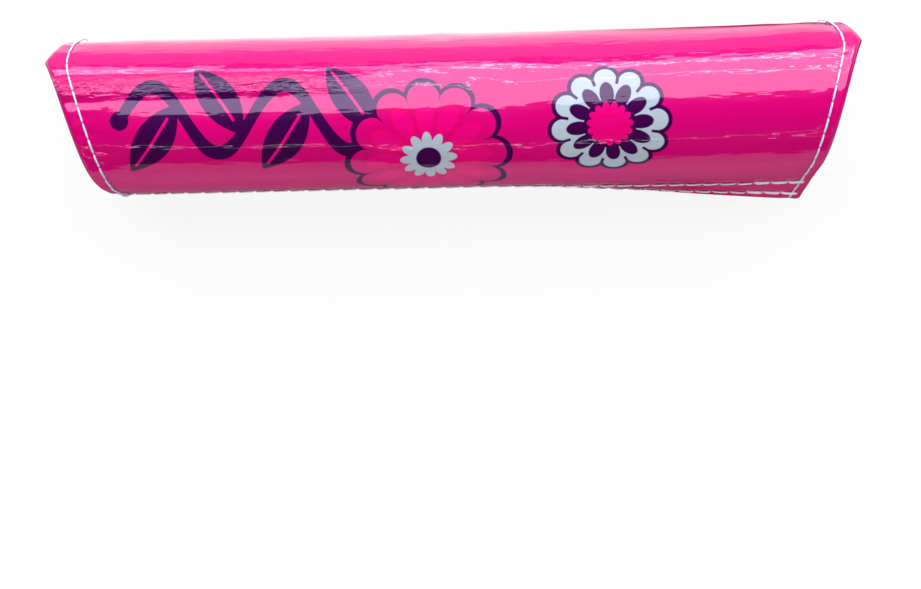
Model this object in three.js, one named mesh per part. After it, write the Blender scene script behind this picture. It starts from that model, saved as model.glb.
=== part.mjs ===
// Handlebar crossbar pad: a sewn sandwich of glossy vinyl, soft foam and knit lining, rolled round a bar
// and closed along its underside by hook-and-loop tape. Both ends are cut to a shallow V.
//
// Frame, in millimetres: +X runs along the pad, +Z points up, and the pad lies on z = 0 on a small flat
// spot. Angles turn about the pad's axis, from +Z towards -Y, and arcs are lengths of the flat sheet.
//
// The pad is drawn as the flat sheet that it is sewn from. A point of the sheet has an arc, which is its
// distance from the front edge, a place along the length, and a depth below the outer face. One roll
// turns these three into a place in space, so every layer follows the layers above and below it.

import * as THREE from 'three';

// The sheet and its cut
const PAD_LENGTH = 230; // from tip to tip
const END_SLOPE = 0.3; // how fast the V ends fall back from their tip
const TIP_ANGLE = degrees(-50); // the tip of the V, seen on the rolled pad
const TIP_SKEW = 1; // the +X tip stands this much further back, and the -X tip as much further forward

// Layers, from the outside in
const COVER_THICKNESS = 0.9;
const FOAM_THICKNESS = 9;
const LINING_THICKNESS = 0.6;
const TAPE_THICKNESS = 1.2;
const LAYER_GAP = 0.3; // room between two layers
const BORE_DIAMETER = 21.8; // a 19 mm crossbar with room to spare

// Sewn borders: the vinyl is turned under along every edge
const END_HEM_WIDTH = 6.5; // turned vinyl at the V ends
const TAPE_WIDTH = 9;
const TAPE_INSET = 3.5; // from the edge of the flap to the tape
const TAPE_MARGIN = 0.5; // from the tape to the edge of the turned vinyl
const LINING_BEND = 1.2; // the lining leaves the turned vinyl within this width
const LINING_INSET = 0.6; // from the fold of the vinyl to the edge of the lining

// How the padding swells beside the sewn borders
const END_SWELL = 9;
const FRONT_SWELL = 6;
const BACK_SWELL = 6.8;
const END_DIP = 0.6; // how far the end hems lie below the padded face

// The roll
const FRONT_HEM_ANGLE = degrees(84); // where the padding of the front flap ends
const LAP_CLEARANCE = 0.4; // between the front edge and the shoulder of the back flap
const LAP_STAND_OFF = 1.4; // how far the lapped hems stand off the bore
const FLAT_WIDTH = 9; // of the spot that the pad lies on

// The front flap stands open at its +X end, and the loosened roll lies a little further back there
const FLAP_OPENING = 0.95; // share of its curve that the flap loses there
const OPENING_ANGLE = degrees(66); // where the flap leaves the round
const OPENING_START = 10; // along the length
const OPENING_LENGTH = 90;
const LOOSE_SHIFT = 1.2;

// Fineness of the faceted sheet
const PAD_STEP = 4.8;
const HEM_STEP = 3;
const SWELL_ROWS = 3; // over each swelling beside a flap hem
const SWELL_COLUMNS = 2; // over each swelling beside an end hem
const MIDDLE_COLUMNS = 6;
const EDGE_LEVELS = [0.22, 0.42, 0.58, 0.78]; // shares of the hem, where its edge is rounded off

// Sizes that follow from the ones above
const HEM_THICKNESS = 2 * COVER_THICKNESS + LINING_THICKNESS + 2 * LAYER_GAP;
const PAD_THICKNESS = COVER_THICKNESS + FOAM_THICKNESS + LINING_THICKNESS + 2 * LAYER_GAP;
const OUTER_RADIUS = BORE_DIAMETER / 2 + PAD_THICKNESS;
const FLAP_HEM_WIDTH = TAPE_INSET + TAPE_WIDTH + TAPE_MARGIN;
const TAPE_STACK = 2 * TAPE_THICKNESS + 3 * LAYER_GAP;
const LAP_DIP = PAD_THICKNESS - LAP_STAND_OFF - 2 * HEM_THICKNESS - TAPE_STACK;
const BACK_TUCK = PAD_THICKNESS - LAP_STAND_OFF - HEM_THICKNESS;
const FRONT_HEM_DEPTH = LAP_DIP + HEM_THICKNESS / 2; // depth of the middle of the front hem
const BACK_HEM_DEPTH = BACK_TUCK + HEM_THICKNESS / 2; // depth of the middle of the back hem
const FRONT_EDGE_ANGLE = FRONT_HEM_ANGLE + FLAP_HEM_WIDTH / (OUTER_RADIUS - FRONT_HEM_DEPTH);
const BACK_HEM_ANGLE = FRONT_EDGE_ANGLE + LAP_CLEARANCE / OUTER_RADIUS - 2 * Math.PI;
const BACK_EDGE_ANGLE = BACK_HEM_ANGLE - FLAP_HEM_WIDTH / (OUTER_RADIUS - BACK_HEM_DEPTH);
const SHEET_WIDTH = 2 * FLAP_HEM_WIDTH + OUTER_RADIUS * (FRONT_HEM_ANGLE - BACK_HEM_ANGLE);
const BACK_HEM_ARC = SHEET_WIDTH - FLAP_HEM_WIDTH;
const TIP_ARC = arcOfAngle(TIP_ANGLE);
const OPENING_ARC = arcOfAngle(OPENING_ANGLE);
const AXIS_HEIGHT = Math.sqrt(OUTER_RADIUS ** 2 - (FLAT_WIDTH / 2) ** 2);

// Above the hidden back hem the front flap is thinner, and beyond it the padding swells to its full height
const COVERED_ARC = arcOfAngle(BACK_EDGE_ANGLE + 2 * Math.PI);
const COVERED_FILL = (TAPE_STACK - LAYER_GAP) / (PAD_THICKNESS - HEM_THICKNESS - LAP_DIP);

// Where the lining and the foam begin, as distances from an edge
const LINING_START = COVER_THICKNESS + LINING_INSET;
const FLAP_FOAM_START = FLAP_HEM_WIDTH + LAYER_GAP + LINING_BEND;
const END_FOAM_START = END_HEM_WIDTH + LAYER_GAP + LINING_BEND;
const END_FULL = END_FOAM_START + END_SWELL;

function degrees(angle) {
  return THREE.MathUtils.degToRad(angle);
}

// The arc of a padded point of the sheet from its angle on the rolled pad
function arcOfAngle(angle) {
  return FLAP_HEM_WIDTH + OUTER_RADIUS * (FRONT_HEM_ANGLE - angle);
}

// A rounded shoulder: 0 before the padding, and 1 from its full height on
function shoulder(share) {
  return Math.sin((Math.PI / 2) * THREE.MathUtils.clamp(share, 0, 1));
}

function frontFill(arc) {
  const covered = THREE.MathUtils.clamp((arc - FLAP_HEM_WIDTH) / (COVERED_ARC - FLAP_HEM_WIDTH), 0, 1);
  const free = shoulder((arc - COVERED_ARC) / FRONT_SWELL);
  return COVERED_FILL * covered ** 2 + (1 - COVERED_FILL) * free;
}

function backFill(arc) {
  return shoulder((BACK_HEM_ARC - arc) / BACK_SWELL);
}

function endFill(inset) {
  return shoulder((inset - END_FOAM_START) / END_SWELL);
}

// Depths of the outer and inner face of the whole sandwich, at a place on the sheet
function sheetDepths(arc, inset) {
  const front = frontFill(arc);
  const back = backFill(arc);
  const end = endFill(inset);
  const lap = LAP_DIP * (1 - front);
  const tuck = BACK_TUCK * (1 - back);
  const dip = END_DIP * (1 - end) * front * back;
  const outer = lap + tuck + dip;
  const padding = (PAD_THICKNESS - HEM_THICKNESS) * front * back * end;
  return { outer, inner: outer + HEM_THICKNESS + padding };
}

// From the flat sheet to the rolled pad
function roll(arc, x, depth) {
  const loose = THREE.MathUtils.clamp((x - OPENING_START) / OPENING_LENGTH, 0, 1);
  const opening = FLAP_OPENING * loose;
  const onFlap = arc < OPENING_ARC;
  const radius = onFlap ? OUTER_RADIUS / (1 - opening) : OUTER_RADIUS;
  const hemRadius = radius - (onFlap ? FRONT_HEM_DEPTH : BACK_HEM_DEPTH);
  const padded = THREE.MathUtils.clamp(arc, FLAP_HEM_WIDTH, BACK_HEM_ARC);
  const angle = OPENING_ANGLE + (OPENING_ARC - padded) / radius + (padded - arc) / hemRadius;
  const shift = OUTER_RADIUS - radius;
  const back = LOOSE_SHIFT * loose ** 2;
  const y = back - shift * Math.sin(OPENING_ANGLE) - (radius - depth) * Math.sin(angle);
  const z = AXIS_HEIGHT + shift * Math.cos(OPENING_ANGLE) + (radius - depth) * Math.cos(angle);
  return new THREE.Vector3(x, y, Math.max(z, depth));
}

// Places from start to end, with the start and without the end, no further apart than step
function divide(start, end, step) {
  const count = Math.max(1, Math.ceil((end - start) / step - 0.001));
  return Array.from({ length: count }, (_, i) => start + ((end - start) * i) / count);
}

// The rows of the sheet, as distances from an edge, from the edge to where the foam begins
function hemRows() {
  const tapeEnd = TAPE_INSET + TAPE_WIDTH;
  const rows = [0, COVER_THICKNESS, LINING_START];
  rows.push(...divide(TAPE_INSET, tapeEnd, HEM_STEP), tapeEnd);
  rows.push(FLAP_HEM_WIDTH, FLAP_HEM_WIDTH + LAYER_GAP, FLAP_FOAM_START);
  return rows;
}

// All rows, from the front edge to the back edge
function sheetRows() {
  const flatHalfAngle = Math.asin(FLAT_WIDTH / 2 / OUTER_RADIUS);
  const hem = hemRows();
  const rows = hem.slice(0, -1);
  const swellEnd = COVERED_ARC + FRONT_SWELL;
  const backSwellStart = BACK_HEM_ARC - BACK_SWELL;
  rows.push(...divide(FLAP_FOAM_START, COVERED_ARC, PAD_STEP));
  rows.push(...divide(COVERED_ARC, swellEnd, FRONT_SWELL / SWELL_ROWS));
  rows.push(...divide(swellEnd, TIP_ARC - TIP_SKEW, PAD_STEP));
  rows.push(TIP_ARC - TIP_SKEW);
  rows.push(...divide(TIP_ARC + TIP_SKEW, arcOfAngle(-Math.PI + flatHalfAngle), PAD_STEP));
  rows.push(...divide(arcOfAngle(-Math.PI + flatHalfAngle), arcOfAngle(-Math.PI - flatHalfAngle), FLAT_WIDTH));
  rows.push(...divide(arcOfAngle(-Math.PI - flatHalfAngle), backSwellStart, PAD_STEP));
  rows.push(...divide(backSwellStart, SHEET_WIDTH - FLAP_FOAM_START, BACK_SWELL / SWELL_ROWS));
  rows.push(...hem.map((inset) => SHEET_WIDTH - inset).reverse());
  return rows;
}

// The columns of the sheet: near an end by their distance from it, and between the ends by their share
function sheetColumns() {
  const swell = divide(END_FOAM_START, END_FULL, END_SWELL / SWELL_COLUMNS);
  const insets = [0, COVER_THICKNESS, LINING_START, END_HEM_WIDTH, END_HEM_WIDTH + LAYER_GAP, ...swell];
  const left = insets.map((inset) => ({ side: -1, inset }));
  const right = insets.map((inset) => ({ side: 1, inset })).reverse();
  const middle = divide(-1, 1, 2 / MIDDLE_COLUMNS).map((side) => ({ side, inset: END_FULL }));
  return [...left, ...middle, { side: 1, inset: END_FULL }, ...right];
}

const ROWS = sheetRows();
const COLUMNS = sheetColumns();

function columnX(column, arc) {
  const tip = TIP_ARC + column.side * TIP_SKEW;
  const squareInset = column.inset * Math.hypot(1, END_SLOPE);
  return column.side * (PAD_LENGTH / 2 - END_SLOPE * Math.abs(arc - tip) - squareInset);
}

// Distances of the middle of a cell from the nearest flap edge and from the nearest end
function flapInset(row) {
  const arc = (ROWS[row] + ROWS[row + 1]) / 2;
  return Math.min(arc, SHEET_WIDTH - arc);
}

function endInset(column) {
  return (COLUMNS[column].inset + COLUMNS[column + 1].inset) / 2;
}

// The six sides of a cell, each with the step to its neighbour and its corners in outward order
const CELL_SIDES = [
  { step: [-1, 0, 0], corners: [[0, 0, 0], [0, 0, 1], [0, 1, 1], [0, 1, 0]] },
  { step: [1, 0, 0], corners: [[1, 0, 0], [1, 1, 0], [1, 1, 1], [1, 0, 1]] },
  { step: [0, -1, 0], corners: [[0, 0, 0], [1, 0, 0], [1, 0, 1], [0, 0, 1]] },
  { step: [0, 1, 0], corners: [[0, 1, 0], [0, 1, 1], [1, 1, 1], [1, 1, 0]] },
  { step: [0, 0, -1], corners: [[0, 0, 0], [0, 1, 0], [1, 1, 0], [1, 0, 0]] },
  { step: [0, 0, 1], corners: [[0, 0, 1], [1, 0, 1], [1, 1, 1], [0, 1, 1]] },
];

// A closed layer made of the sheet's cells. fills(row, column, layer) says which cells it takes up, and
// depths(row, column) gives the depth of each level between and around its layers.
function sheetSolid(layerCount, fills, depths) {
  const corners = new Map();
  const positions = [];
  const triangles = [];

  function cornerIndex(row, column, level) {
    const key = `${row} ${column} ${level}`;
    if (!corners.has(key)) {
      const arc = ROWS[row];
      const point = roll(arc, columnX(COLUMNS[column], arc), depths(row, column)[level]);
      corners.set(key, positions.length / 3);
      positions.push(point.x, point.y, point.z);
    }
    return corners.get(key);
  }

  function isFilled(row, column, layer) {
    const onSheet = row >= 0 && column >= 0 && row < ROWS.length - 1 && column < COLUMNS.length - 1;
    return onSheet && layer >= 0 && layer < layerCount && fills(row, column, layer);
  }

  function addOpenSides(row, column, layer) {
    for (const { step, corners: offsets } of CELL_SIDES) {
      if (isFilled(row + step[0], column + step[1], layer + step[2])) continue;
      const [a, b, c, d] = offsets.map(([i, j, k]) => cornerIndex(row + i, column + j, layer + k));
      triangles.push(a, b, c, a, c, d);
    }
  }

  for (let row = 0; row < ROWS.length - 1; row += 1) {
    for (let column = 0; column < COLUMNS.length - 1; column += 1) {
      for (let layer = 0; layer < layerCount; layer += 1) {
        if (isFilled(row, column, layer)) addOpenSides(row, column, layer);
      }
    }
  }

  const geometry = new THREE.BufferGeometry();
  geometry.setAttribute('position', new THREE.Float32BufferAttribute(positions, 3));
  geometry.setIndex(triangles);
  geometry.computeVertexNormals();
  return geometry;
}

function depthsAt(row, column) {
  return sheetDepths(ROWS[row], COLUMNS[column].inset);
}

// The vinyl lies over the whole pad and is turned under along its edges, and the fold is rounded off
function coverGeometry() {
  const skin = 0;
  const pocket = 1;
  function fills(row, column, layer) {
    const onFold = flapInset(row) < COVER_THICKNESS || endInset(column) < COVER_THICKNESS;
    const onHem = flapInset(row) < FLAP_HEM_WIDTH || endInset(column) < END_HEM_WIDTH;
    if (layer === skin) return true;
    return layer === pocket ? onFold : onHem;
  }
  function depths(row, column) {
    const { outer, inner } = depthsAt(row, column);
    const onEdge = row === 0 || row === ROWS.length - 1 || COLUMNS[column].inset === 0;
    if (onEdge) return EDGE_LEVELS.map((share) => outer + share * (inner - outer));
    return [outer, outer + COVER_THICKNESS, inner - COVER_THICKNESS, inner];
  }
  return sheetSolid(3, fills, depths);
}

// The foam fills the pad inside the sewn borders
function foamGeometry() {
  const fills = (row, column) => flapInset(row) > FLAP_FOAM_START && endInset(column) > END_FOAM_START;
  function depths(row, column) {
    const { outer, inner } = depthsAt(row, column);
    return [outer + COVER_THICKNESS + LAYER_GAP, inner - LINING_THICKNESS - LAYER_GAP];
  }
  return sheetSolid(1, fills, depths);
}

// The lining is the inner face of the pad, and its border is held between the cover and the turned vinyl
function liningGeometry() {
  const fills = (row, column) => flapInset(row) > LINING_START && endInset(column) > LINING_START;
  function depths(row, column) {
    const { outer, inner } = depthsAt(row, column);
    const arcInset = Math.min(ROWS[row], SHEET_WIDTH - ROWS[row]);
    const inFlapHem = arcInset < FLAP_HEM_WIDTH + LAYER_GAP + LINING_BEND / 2;
    const inEndHem = COLUMNS[column].inset < END_HEM_WIDTH + LAYER_GAP + LINING_BEND / 2;
    const top = inFlapHem || inEndHem ? outer + COVER_THICKNESS + LAYER_GAP : inner - LINING_THICKNESS;
    return [top, top + LINING_THICKNESS];
  }
  return sheetSolid(1, fills, depths);
}

// A tape runs along its flap's hem and stops short of the end hems
function isOnTape(arcInset, column) {
  const acrossTape = arcInset > TAPE_INSET && arcInset < TAPE_INSET + TAPE_WIDTH;
  return acrossTape && endInset(column) > END_FOAM_START;
}

function hookTapeGeometry() {
  const fills = (row, column) => ROWS[row] < FLAP_HEM_WIDTH && isOnTape(flapInset(row), column);
  function depths(row, column) {
    const { inner } = depthsAt(row, column);
    return [inner + LAYER_GAP, inner + LAYER_GAP + TAPE_THICKNESS];
  }
  return sheetSolid(1, fills, depths);
}

function loopTapeGeometry() {
  const fills = (row, column) => ROWS[row] > BACK_HEM_ARC && isOnTape(flapInset(row), column);
  function depths(row, column) {
    const { outer } = depthsAt(row, column);
    return [outer - LAYER_GAP - TAPE_THICKNESS, outer - LAYER_GAP];
  }
  return sheetSolid(1, fills, depths);
}

// Finishes
const glossyVinyl = () => new THREE.MeshStandardMaterial({ color: 0xec008c, roughness: 0.16, metalness: 0 });
const openFoam = () => new THREE.MeshStandardMaterial({ color: 0xd9d4c4, roughness: 0.95, metalness: 0 });
const paleKnit = () => new THREE.MeshStandardMaterial({ color: 0xe4e4e8, roughness: 0.9, metalness: 0 });
const whiteNylon = () => new THREE.MeshStandardMaterial({ color: 0xf2f3f6, roughness: 0.85, metalness: 0 });

function namedMesh(name, geometry, material) {
  const mesh = new THREE.Mesh(geometry, material);
  mesh.name = name;
  return mesh;
}

const pad = new THREE.Group();
pad.name = 'crossbar_pad';
pad.add(namedMesh('outer_cover', coverGeometry(), glossyVinyl()));
pad.add(namedMesh('foam_core', foamGeometry(), openFoam()));
pad.add(namedMesh('inner_lining', liningGeometry(), paleKnit()));
pad.add(namedMesh('hook_tape', hookTapeGeometry(), whiteNylon()));
pad.add(namedMesh('loop_tape', loopTapeGeometry(), whiteNylon()));

export default pad;
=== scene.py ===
"""A handlebar crossbar pad, as a Blender add-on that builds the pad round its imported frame."""

import math

import bmesh
import bpy
import numpy as np
from bpy.props import FloatProperty, FloatVectorProperty, PointerProperty
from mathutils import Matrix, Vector


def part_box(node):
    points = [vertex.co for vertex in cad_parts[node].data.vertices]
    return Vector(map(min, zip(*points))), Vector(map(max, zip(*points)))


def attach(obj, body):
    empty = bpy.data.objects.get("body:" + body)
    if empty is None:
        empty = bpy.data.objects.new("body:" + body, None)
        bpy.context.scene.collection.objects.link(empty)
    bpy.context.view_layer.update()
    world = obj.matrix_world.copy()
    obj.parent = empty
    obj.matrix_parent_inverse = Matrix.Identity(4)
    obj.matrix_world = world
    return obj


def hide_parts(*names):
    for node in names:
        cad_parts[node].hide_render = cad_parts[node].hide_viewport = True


bl_info = {
    "name": "Handlebar crossbar pad",
    "version": (1, 0, 0),
    "blender": (4, 5, 0),
    "location": "View3D > Sidebar > Crossbar pad",
    "description": "Builds a rolled, sewn crossbar pad with its vinyl, foam, lining, tapes and stitches",
    "category": "Object",
}

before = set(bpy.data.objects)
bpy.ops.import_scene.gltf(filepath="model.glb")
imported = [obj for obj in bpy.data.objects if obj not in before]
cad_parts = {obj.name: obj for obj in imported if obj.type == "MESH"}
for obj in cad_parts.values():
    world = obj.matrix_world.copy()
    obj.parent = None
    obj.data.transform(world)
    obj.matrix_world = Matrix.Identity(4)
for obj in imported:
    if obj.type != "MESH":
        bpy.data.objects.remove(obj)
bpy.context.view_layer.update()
COVER_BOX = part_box("outer_cover")
MM = 0.001


# Sizes and colours that a user would change
def millimetres(name, description, default):
    return FloatProperty(name=name, description=description, default=default * MM, unit="LENGTH")


def degrees(name, description, default):
    return FloatProperty(name=name, description=description, default=math.radians(default), subtype="ANGLE")


def number(name, description, default):
    return FloatProperty(name=name, description=description, default=default)


def pigment(name, description, default):
    return FloatVectorProperty(name=name, description=description, default=default, size=3, subtype="COLOR")


class PadSizes(bpy.types.PropertyGroup):
    length: FloatProperty(
        name="Length", description="From the tip of one end to the tip of the other",
        default=COVER_BOX[1][0] - COVER_BOX[0][0], unit="LENGTH",
    )
    end_slope: number("End slope", "How fast the V ends fall back", 0.3)
    tip_angle: degrees("Tip angle", "Where the tips of the V stand on the roll", -50)
    bore: millimetres("Bore", "Diameter of the hollow that the crossbar fills", 21.8)
    cover: millimetres("Cover", "Thickness of the vinyl", 0.9)
    foam: millimetres("Foam", "Thickness of the foam", 9)
    lining: millimetres("Lining", "Thickness of the lining", 0.6)
    tape: millimetres("Tape", "Thickness of a tape", 1.2)
    gap: millimetres("Gap", "Room between two layers", 0.3)
    end_hem: millimetres("End hem", "Width of the turned vinyl at the ends", 6.5)
    tape_width: millimetres("Tape width", "Width of a tape", 9)
    tape_inset: millimetres("Tape inset", "From a flap's edge to its tape", 3.5)
    tape_margin: millimetres("Tape margin", "From a tape to the end of the turned vinyl", 0.5)
    end_swell: millimetres("End swell", "Width over which the padding rises at the ends", 9)
    front_swell: millimetres("Front swell", "Width of that rise on the front flap", 6)
    back_swell: millimetres("Back swell", "Width of that rise on the back flap", 6.8)
    end_dip: millimetres("End dip", "How far the end hems lie below the padded face", 0.1)
    front_hem_angle: degrees("Front hem angle", "Where the padding of the front flap ends", 84)
    lap_clearance: millimetres("Lap clearance", "From the front edge to the back shoulder", 0.4)
    flat_width: millimetres("Flat spot", "Width of the spot that the pad lies on", 9)
    lap_stand_off: millimetres("Lap stand-off", "How far the lapped hems stand off the bore", 1.4)
    flap_opening: number("Flap opening", "Share of its curve that the flap loses at its open end", 1.1)
    opening_angle: degrees("Opening angle", "Where the open flap leaves the round", 66)
    opening_start: millimetres("Opening start", "Where along the pad the flap starts to open", 10)
    opening_length: millimetres("Opening length", "Over what length it opens", 90)
    loose_shift: millimetres("Loose shift", "How far back the loosened roll lies there", 0.9)
    tip_skew: millimetres("Tip skew", "How far the right tip stands behind the middle of both", 0.4)
    corner_pull: millimetres("Corner pull", "How far the seams draw in the closed front corner", 1.3)
    mesh_step: millimetres("Mesh step", "Fineness of the modelled surface", 0.9)


class StitchSizes(bpy.types.PropertyGroup):
    pitch: millimetres("Pitch", "From needle hole to needle hole", 4.9)
    thread: millimetres("Thread", "Diameter of the thread", 0.58)
    end_inset: millimetres("End row", "From the end's edge to its row of stitches", 4.5)
    inner_row: millimetres("Inner flap row", "From a flap's edge to its inner row", 11.5)
    outer_row: millimetres("Outer flap row", "From a flap's edge to its outer row", 4.5)
    pull: millimetres("Pull", "How deep the thread pulls the vinyl in", 0.32)
    pull_width: millimetres("Pull width", "Half width of the groove that this makes", 1.5)


class PrintColours(bpy.types.PropertyGroup):
    ground: pigment("Ground", "Hot pink of the vinyl", (0.61, 0.0, 0.14))
    bright: pigment("Bright pink", "Pink of the rosette and the small petals", (0.72, 0.0, 0.16))
    dark: pigment("Dark purple", "Outlines and leaves", (0.04, 0.0, 0.048))
    white: pigment("White", "White petals", (0.4, 0.45, 0.49))
    line: pigment("Red line", "Fine lines inside the flowers", (0.74, 0.0, 0.075))


class StudioSettings(bpy.types.PropertyGroup):
    camera_height: millimetres("Camera height", "Above the pad's axis", 1600)
    pad_tilt: degrees("Tilt in the picture", "How far the pad is turned in the picture", 1.25)
    softbox: number("Softbox", "Radiance of the large softbox", 3.75)
    strips: number("Strips", "Radiance of the thin strip lamps", 12.0)
    front: number("Front light", "Radiance of the soft front light", 2.15)
    fill: number("Fill", "Radiance of the even fill light", 0.1)
    table: number("Table", "Radiance of the table where it is mirrored", 0.58)


# Small trims of the cut at its ends, and of the row of stitches along them
UPPER_TRIM = 0.1
UPPER_TRIM_REACH = 8 * MM
SLOPE_SKEW = 0.0175
CORNER_ARC = 30 * MM
CORNER_REACH = 20 * MM
ROW_KINK_FORWARD = 2.9 * MM
ROW_KINK_RADIUS = 3.4 * MM
ROW_LEFT_INSET = 1.1 * MM
ROW_LEFT_EASE = 0.1

# From the end of a hem to the padding, besides the gap
PADDING_INSET = 1.2 * MM

# The least share of its curve that the open flap keeps, so that its radius stays finite
FLATTEST_CURVE = 0.0001


class Sheet:
    """The flat sheet that the pad is sewn from, and the roll that turns it into a place in space.

    A place on the sheet has an arc, its distance from the front edge, an x along the length and a depth
    below the outer face.
    """

    def __init__(self, sizes):
        self.s = sizes
        self.hem_thickness = 2 * sizes.cover + sizes.lining + 2 * sizes.gap
        self.thickness = sizes.cover + sizes.foam + sizes.lining + 2 * sizes.gap
        self.radius = sizes.bore / 2 + self.thickness
        self.flap_hem = sizes.tape_inset + sizes.tape_width + sizes.tape_margin
        self.tape_stack = 2 * sizes.tape + 3 * sizes.gap
        self.lap_dip = self.thickness - sizes.lap_stand_off - 2 * self.hem_thickness - self.tape_stack
        self.back_tuck = self.thickness - sizes.lap_stand_off - self.hem_thickness
        self.front_depth = self.lap_dip + self.hem_thickness / 2
        self.back_depth = self.back_tuck + self.hem_thickness / 2
        front_edge = sizes.front_hem_angle + self.flap_hem / (self.radius - self.front_depth)
        self.back_hem_angle = front_edge + sizes.lap_clearance / self.radius - 2 * math.pi
        back_edge = self.back_hem_angle - self.flap_hem / (self.radius - self.back_depth)
        self.width = 2 * self.flap_hem + self.radius * (sizes.front_hem_angle - self.back_hem_angle)
        self.back_arc = self.width - self.flap_hem
        self.tip_arc = self.arc_of_angle(sizes.tip_angle)
        self.opening_arc = self.arc_of_angle(sizes.opening_angle)
        self.axis_height = math.sqrt(self.radius**2 - (sizes.flat_width / 2) ** 2)
        self.covered_arc = self.arc_of_angle(back_edge + 2 * math.pi)
        free_height = self.thickness - self.hem_thickness - self.lap_dip
        self.covered_fill = (self.tape_stack - sizes.gap) / free_height
        self.padding_start = sizes.gap + PADDING_INSET
        self.full_inset = sizes.end_hem + self.padding_start + sizes.end_swell
        self.slant = math.hypot(1, sizes.end_slope)

    def arc_of_angle(self, angle):
        return self.flap_hem + self.radius * (self.s.front_hem_angle - angle)

    def half_length(self, arc, side):
        """From the middle of the pad to its left end, for side -1, or its right end, for side 1."""
        beyond_tip = arc - self.tip_arc - side * self.s.tip_skew
        trim = UPPER_TRIM * np.clip(beyond_tip, 0, UPPER_TRIM_REACH)
        slope = self.s.end_slope - SLOPE_SKEW * (side + 1)
        corner = np.clip((CORNER_ARC - arc) / CORNER_REACH, 0, 1) ** 2 * (side < 0)
        return self.s.length / 2 - slope * np.abs(beyond_tip) - trim - self.s.corner_pull * corner

    def end_inset(self, arc, x):
        """Square distance of a place from the nearer end."""
        return (self.half_length(arc, np.sign(x)) - np.abs(x)) / self.slant

    def place_along(self, arc, side, inset):
        """The x of a place at an inset from an end, or between both ends for a side between -1 and 1."""
        return side * (self.half_length(arc, np.sign(side)) - inset * self.slant)

    def end_row(self, arc, side, inset):
        """The x of the row of stitches along an end, whose kink is rounder than the cut."""
        beyond_kink = arc - self.tip_arc - side * self.s.tip_skew + ROW_KINK_FORWARD
        slope = self.s.end_slope - SLOPE_SKEW * (side + 1)
        fallen = slope * (np.sqrt(beyond_kink**2 + ROW_KINK_RADIUS**2) - ROW_KINK_RADIUS / 2)
        fallen = fallen + (side < 0) * (ROW_LEFT_INSET - ROW_LEFT_EASE * np.maximum(beyond_kink, 0))
        return side * (self.s.length / 2 - fallen - inset * self.slant)

    def flap_inset(self, arc):
        return np.minimum(arc, self.width - arc)

    def depths(self, arc, inset):
        """Depths of the outer and the inner face of the whole sandwich."""
        covered = np.clip((arc - self.flap_hem) / (self.covered_arc - self.flap_hem), 0, 1)
        free = shoulder((arc - self.covered_arc) / self.s.front_swell)
        front = self.covered_fill * covered**2 + (1 - self.covered_fill) * free
        back = shoulder((self.back_arc - arc) / self.s.back_swell)
        end = shoulder((inset - self.s.end_hem - self.padding_start) / self.s.end_swell)
        spare = self.thickness - self.hem_thickness
        outer = self.lap_dip * (1 - front) + self.back_tuck * (1 - back)
        outer = outer + self.s.end_dip * (1 - end) * front * back
        return outer, outer + self.hem_thickness + spare * front * back * end

    def roll(self, arc, x, depth):
        """From the flat sheet to the rolled pad, as an array of points."""
        loose = np.clip((x - self.s.opening_start) / self.s.opening_length, 0, 1)
        curve = 1 - self.s.flap_opening * loose
        curve = np.where(np.abs(curve) < FLATTEST_CURVE, FLATTEST_CURVE, curve)
        on_flap = arc < self.opening_arc
        radius = np.where(on_flap, self.radius / curve, self.radius)
        hem_radius = radius - np.where(on_flap, self.front_depth, self.back_depth)
        padded = np.clip(arc, self.flap_hem, self.back_arc)
        angle = self.s.opening_angle + (self.opening_arc - padded) / radius + (padded - arc) / hem_radius
        shift = self.radius - radius
        y = self.s.loose_shift * loose**2 - shift * math.sin(self.s.opening_angle)
        y = y - (radius - depth) * np.sin(angle)
        z = self.axis_height + shift * math.cos(self.s.opening_angle) + (radius - depth) * np.cos(angle)
        return np.stack([x + 0 * y, y, np.maximum(z, np.maximum(depth, 0))], axis=-1)


def shoulder(share):
    return np.sin(math.pi / 2 * np.clip(share, 0, 1))


WAVE_SLANT = 0.6
WAVE_STRETCH = (0.6, 1.6)


def soft_noise(along, across, lengths, seed, waves=7):
    """A smooth random relief from -1 to 1: a few sine waves of random slant and phase."""
    rng = np.random.default_rng(seed)
    total = 0
    for _ in range(waves):
        slant = rng.normal(0, WAVE_SLANT)
        stretch = rng.uniform(*WAVE_STRETCH)
        phase = rng.uniform(0, 2 * math.pi)
        turns = along / lengths[0] * slant + across / lengths[1] * stretch
        total = total + np.sin(2 * math.pi * turns + phase)
    return total / waves


def groove(distance, width):
    return np.exp(-((distance / width) ** 2))


def beat(along, pitch):
    """Share of its pull that the thread has along a row: all at a needle hole, less between two."""
    return 0.82 + 0.18 * np.cos(2 * math.pi * along / pitch)


# Relief of the vinyl: wave lengths along and across the pad, depths and widths
PUCKER_WAVES = (20 * MM, 14 * MM)
PUCKER_WANDER = 2
PUCKER_FADE = 3.5 * MM
PUCKER_DEPTH = 0.09 * MM
PUCKER_MORE_LEFT = 0.05 * MM
RIPPLE_WAVES = (150 * MM, 11 * MM)
RIPPLE_DEPTH = 0.075 * MM
FINE_WAVES = (60 * MM, 4.2 * MM)
FINE_DEPTH = 0.028 * MM
RIPPLE_START = 2 * MM
RIPPLE_EASE = 6 * MM
BULGE_DEPTH = 1.1 * MM
BULGE_ANGLE = math.radians(15)
BULGE_WIDTH = 9 * MM
BULGE_START = 7 * MM
BULGE_EASE = 14 * MM
BULGE_END = 10 * MM
BULGE_FADE = 105 * MM
TABLE_EASE = 9 * MM


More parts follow.
